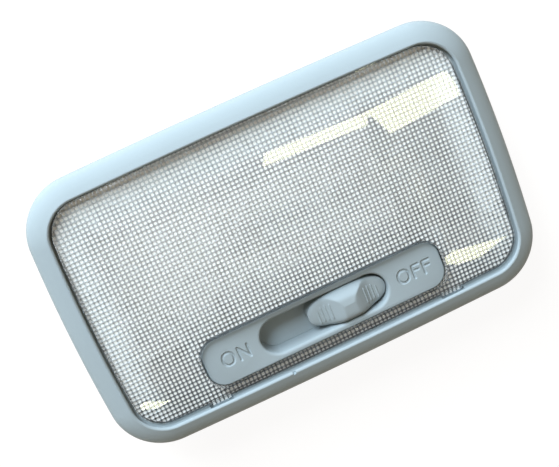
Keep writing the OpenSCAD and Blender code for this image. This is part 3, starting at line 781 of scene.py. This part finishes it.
# Pillow pattern, painted into the lens's colour as highlight and shade: distances from a pillow's middle
# in pitches, and places on the lens in metres
PILLOW_ROUGHNESS = 0.06
PILLOW_CLOUD = 210.0
DOT_REACH = (0.24, 0.46)
OPAQUE_REACH = (0.27, 0.45)
CORNER_REACH = (0.42, 0.58)
OPAQUE_CLEARNESS, VALLEY_CLEARNESS = 0.03, 0.5
PATCH_LIMITS, PATCH_LEAST = (0.5, 0.6), 0.25
LOWEST_ROWS = (-0.03, -0.01)
SWITCH_TO_TOP, TOP_SHARE = (-0.03, 0.03), 0.35
BY_ENDS = (0.046, 0.057)
BY_TOP = (0.02, 0.032)
# Colours of the painted pattern: a painted highlight in the pillows' middles, painted shade in the valleys
# and corners, and painted light in the valleys by the lens's ends and top
PAINTED_HIGHLIGHT_WHITE = (1.0, 0.955, 0.9)
PAINTED_VALLEY_SHADE_PALE = (0.46, 0.44, 0.41)
PAINTED_VALLEY_SHADE_DEEP = (0.22, 0.215, 0.2)
PAINTED_EDGE_GLOW = (0.85, 0.83, 0.79)
PAINTED_CORNER_SHADE = (0.02, 0.02, 0.02)
SPREAD_SHARE = 0.6

# Faces that get the pattern, by their depth under the lens's face and how far down they look, and upright
# faces, by how little they look up or down
PATTERN_DEPTH = (LENS_WALL - 0.1, LENS_WALL + 0.7)
LOOKS_DOWN = -0.2
UPRIGHT = 0.3


def pillow_reach(tree, x, y):
    """Distance to the nearest pillow's middle, in pitches. Pillows meet on X = 0, half a pitch off their
    middle, and have their middle on Y = 0."""
    squares = []
    for value, start in ((x, 0.5), (y, 0.0)):
        at = number(tree, "MULTIPLY_ADD", value, 1 / (PITCH * MM), start)
        off_centre = number(tree, "PINGPONG", at, 0.5)
        squares.append(number(tree, "MULTIPLY", off_centre, off_centre))
    return number(tree, "SQRT", number(tree, "ADD", *squares))


def scatter_inside(tree, surface, share):
    """The pillow pattern spreads this share of the lamps' light over the inside of the light."""
    mix = add_node(tree, "MixShader", {
        "Fac": share,
        1: coloured(tree, "BsdfTransparent", WHITE),
        2: coloured(tree, "BsdfTranslucent", RIM_TINT),
    })
    dim = coloured(tree, "BsdfTransparent", [1 - share] * 3)
    show(tree, surface, [("Is Reflection Ray", mix.outputs["Shader"]), ("Is Shadow Ray", dim)])


def painted_pillow_plastic():
    """The pillowed inner face, with light and shade painted into its colour: a pillow's middle is nearly
    opaque and painted white as a highlight, and the valleys between the pillows are clearer and carry
    painted shade, deeper towards the switch and deepest in patches where four of them meet. Painted light
    makes the valleys palest by the lens's ends and top."""
    material, tree, shader = new_material("lens_pillows_painted_shading")
    split = add_node(tree, "SeparateXYZ", {0: add_node(tree, "TexCoord").outputs["Object"]})
    x, y = split.outputs["X"], split.outputs["Y"]
    reach = pillow_reach(tree, x, y)
    # Painted shade in the valleys and corners, deeper towards the switch and paler towards the top
    by_switch = ramp(tree, y, SWITCH_TO_TOP, 1.0, TOP_SHARE)
    # Painted shade in patches where four pillows meet, spread by noise and in full on the lowest rows
    patches = ramp(tree, noise(tree, PILLOW_CLOUD, 3.0), PATCH_LIMITS, PATCH_LEAST, 1.0)
    patches = number(tree, "MAXIMUM", patches, ramp(tree, y, LOWEST_ROWS, 1.0, 0.0))
    corner = number(tree, "MULTIPLY", ramp(tree, reach, CORNER_REACH), patches)
    corner = number(tree, "MULTIPLY", corner, by_switch)
    # Painted light: the valleys turn pale by the lens's ends and top
    by_ends = ramp(tree, number(tree, "ABSOLUTE", x), BY_ENDS)
    edge_glow_mask = number(tree, "MAXIMUM", by_ends, ramp(tree, y, BY_TOP))
    valley = blend(tree, by_switch, PAINTED_VALLEY_SHADE_PALE, PAINTED_VALLEY_SHADE_DEEP)
    valley = blend(tree, edge_glow_mask, valley, PAINTED_EDGE_GLOW)
    # Each pillow's middle is painted white as a highlight
    colour = blend(tree, ramp(tree, reach, DOT_REACH, 1.0, 0.0), valley, PAINTED_HIGHLIGHT_WHITE)
    set_inputs(tree, shader, {
        "Base Color": blend(tree, corner, colour, PAINTED_CORNER_SHADE),
        "Roughness": PILLOW_ROUGHNESS,
        "IOR": ACRYLIC_IOR,
        # The middle is nearly opaque, so its painted highlight shows in place of what lies behind
        "Transmission Weight": ramp(tree, reach, OPAQUE_REACH, OPAQUE_CLEARNESS, VALLEY_CLEARNESS),
    })
    scatter_inside(tree, shader.outputs["BSDF"], SPREAD_SHARE)
    return material


def dress_pillows(lens):
    """Gives the pillowed face and the lens's upright sides their own materials."""
    lens.data.materials.append(painted_pillow_plastic())
    lens.data.materials.append(clear("lens_rim", RIM_TINT, 0.03, ACRYLIC_IOR, RIM_SHADE))
    for face in lens.data.polygons:
        depth = crown_z(face.center.y / MM) - face.center.z / MM
        if PATTERN_DEPTH[0] < depth < PATTERN_DEPTH[1] and face.normal.z < LOOKS_DOWN:
            face.material_index = 1
        elif abs(face.normal.z) < UPRIGHT:
            face.material_index = 2


def dress(target, material):
    """Gives an object one material."""
    target.data.materials.clear()
    target.data.materials.append(material)


def make_materials():
    steel = metal("steel", STEEL, 0.3)
    brass = metal("tinned_brass", TINNED_BRASS, 0.32)
    return {
        "bezel": moulded("bezel_plastic", GREY, 0.5, specular=0.2),
        "knob": moulded("knob_plastic", GREY, 0.45, specular=0.25),
        "lens_cover": clear("lens_plastic", ACRYLIC, 0.01, ACRYLIC_IOR),
        "rear_housing": moulded("housing_plastic", HOUSING_GREY, 0.5),
        "reflector": metal("reflector_metal", REFLECTOR_METAL, 0.22),
        "switch_base": moulded("base_plastic", BASE_BROWN, 0.5),
        "contact_slider": brass,
        "feed_strip": brass,
        "lamp_strip": brass,
        "ground_strip": brass,
        "bulb_clip_left": brass,
        "bulb_clip_right": brass,
        "detent_spring": steel,
        "base_screws": steel,
        "clip_rivets": steel,
        "bulb_cap_left": steel,
        "bulb_cap_right": steel,
        "bulb_filament": metal("filament_wire", WIRE, 0.4),
        "bulb_glass": clear("bulb_glass", GLASS, 0.0, GLASS_IOR),
    }


def dress_all(pieces):
    for name, material in make_materials().items():
        dress(pieces.get(name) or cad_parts[name], material)
    dress_pillows(pieces["lens_cover"])


# Studio: the floor and the world are white for the camera and in gloss and glass, and warm otherwise
BACKGROUND_RAYS = ("Is Transmission Ray", "Is Glossy Ray", "Is Camera Ray")
FLOOR_HALF = 3000
FLOOR_Z = -0.05
FLOOR_WARM = (0.6, 0.52, 0.4)
PAPER_WARM = (0.85, 0.75, 0.68)
FLOOR_GLOW, GLOW_SHARE = 1.12, 0.82
WORLD_WARM, WORLD_STRENGTH = (1.0, 0.84, 0.58), 0.26

# Window lamp: its size is across and up, and its power in watts
LIGHT_MIDDLE = (0, 0, 20)
WINDOW_AT = (-300, 850, 475)
WINDOW_SIZE = (380, 980)
WINDOW_POWER = 25
WINDOW_BLUE = (0.715, 0.862, 1.0)

# Small bright panels that show as warm reflections on the lens: place, size across and up, and turn
PANELS = [
    ((106, -63, 600), (88, 30), -8),
    ((190, -78, 600), (70, 66), 12),
    ((194, -335, 600), (62, 44), -35),
    ((-97, -341, 600), (15, 46), 25),
]
PANEL_RADIANCE = 12
PANEL_WARM = (1.0, 0.99, 0.7)


def make_floor():
    """The floor keeps the object's shadow, because a share of it is plain paper."""
    plan = np.array([(-1, -1), (1, -1), (1, 1), (-1, 1)]) * FLOOR_HALF
    floor = new_piece("floor", at_height(plan, FLOOR_Z), [(0, 1, 2, 3)])
    material, tree, shader = new_material("pale_floor")
    set_inputs(tree, shader, {"Base Color": FLOOR_WARM, "Roughness": 0.9, "Specular IOR Level": 0.1})
    glow = add_node(tree, "Emission", {"Strength": FLOOR_GLOW}).outputs["Emission"]
    paper = coloured(tree, "BsdfDiffuse", PAPER_WARM)
    seen = add_node(tree, "MixShader", {"Fac": GLOW_SHARE, 1: paper, 2: glow}).outputs["Shader"]
    show(tree, shader.outputs["BSDF"], [(kind, seen) for kind in BACKGROUND_RAYS])
    dress(floor, material)


def make_world():
    world = bpy.data.worlds.new("studio")
    bpy.context.scene.world = world
    world.use_nodes = True
    tree = world.node_tree
    warm = tree.nodes["Background"]
    set_inputs(tree, warm, {"Color": WORLD_WARM, "Strength": WORLD_STRENGTH})
    white = add_node(tree, "Background", {"Color": WHITE, "Strength": 1.0}).outputs["Background"]
    show(tree, warm.outputs["Background"], [(kind, white) for kind in BACKGROUND_RAYS], "World Output")


def aim_at(place, target, roll=0.0, up_axis=(0, 1, 0)):
    """A rotation that looks from place to target, with up_axis upwards before the roll."""
    back = -(Vector(target) - Vector(place)).normalized()
    right = Vector(up_axis).cross(back).normalized()
    up = back.cross(right)
    turn = Matrix((right, up, back)).transposed()
    return (turn @ Matrix.Rotation(math.radians(roll), 3, "Z")).to_euler()


def lamp(name, place, rotation, size, power, colour, only_gloss=False):
    """An area lamp that either lights surfaces or shows only in gloss, and that the camera doesn't see."""
    light = bpy.data.lights.new(name, "AREA")
    light.shape = "RECTANGLE"
    light.size, light.size_y = size[0] * MM, size[1] * MM
    light.energy = power
    light.color = colour
    holder = bpy.data.objects.new(name, light)
    holder.location = Vector(place) * MM
    holder.rotation_euler = rotation
    holder.visible_camera = False
    holder.visible_diffuse = not only_gloss
    holder.visible_glossy = only_gloss
    bpy.context.scene.collection.objects.link(holder)


def make_lights():
    aim = aim_at(WINDOW_AT, LIGHT_MIDDLE, up_axis=(0, 0, 1))
    lamp("window", WINDOW_AT, aim, WINDOW_SIZE, WINDOW_POWER, WINDOW_BLUE)
    for i, (place, size, turn) in enumerate(PANELS):
        power = PANEL_RADIANCE * math.pi * (size[0] * size[1] * MM**2)
        lamp(f"panel_{i + 1}", place, (0, 0, math.radians(turn)), size, power, PANEL_WARM, only_gloss=True)


def make_camera():
    data = bpy.data.cameras.new("camera")
    data.lens = CAMERA_LENS
    camera = bpy.data.objects.new("camera", data)
    camera.location = Vector(CAMERA_AT) * MM
    camera.rotation_euler = aim_at(CAMERA_AT, CAMERA_AIM, CAMERA_ROLL)
    bpy.context.scene.collection.objects.link(camera)
    bpy.context.scene.camera = camera


make_camera()
dress_all({piece.name: piece for piece in (make_frame(), make_lens(), make_knob())})
make_floor()
make_lights()
make_world()
bpy.context.scene.view_settings.view_transform = "Standard"
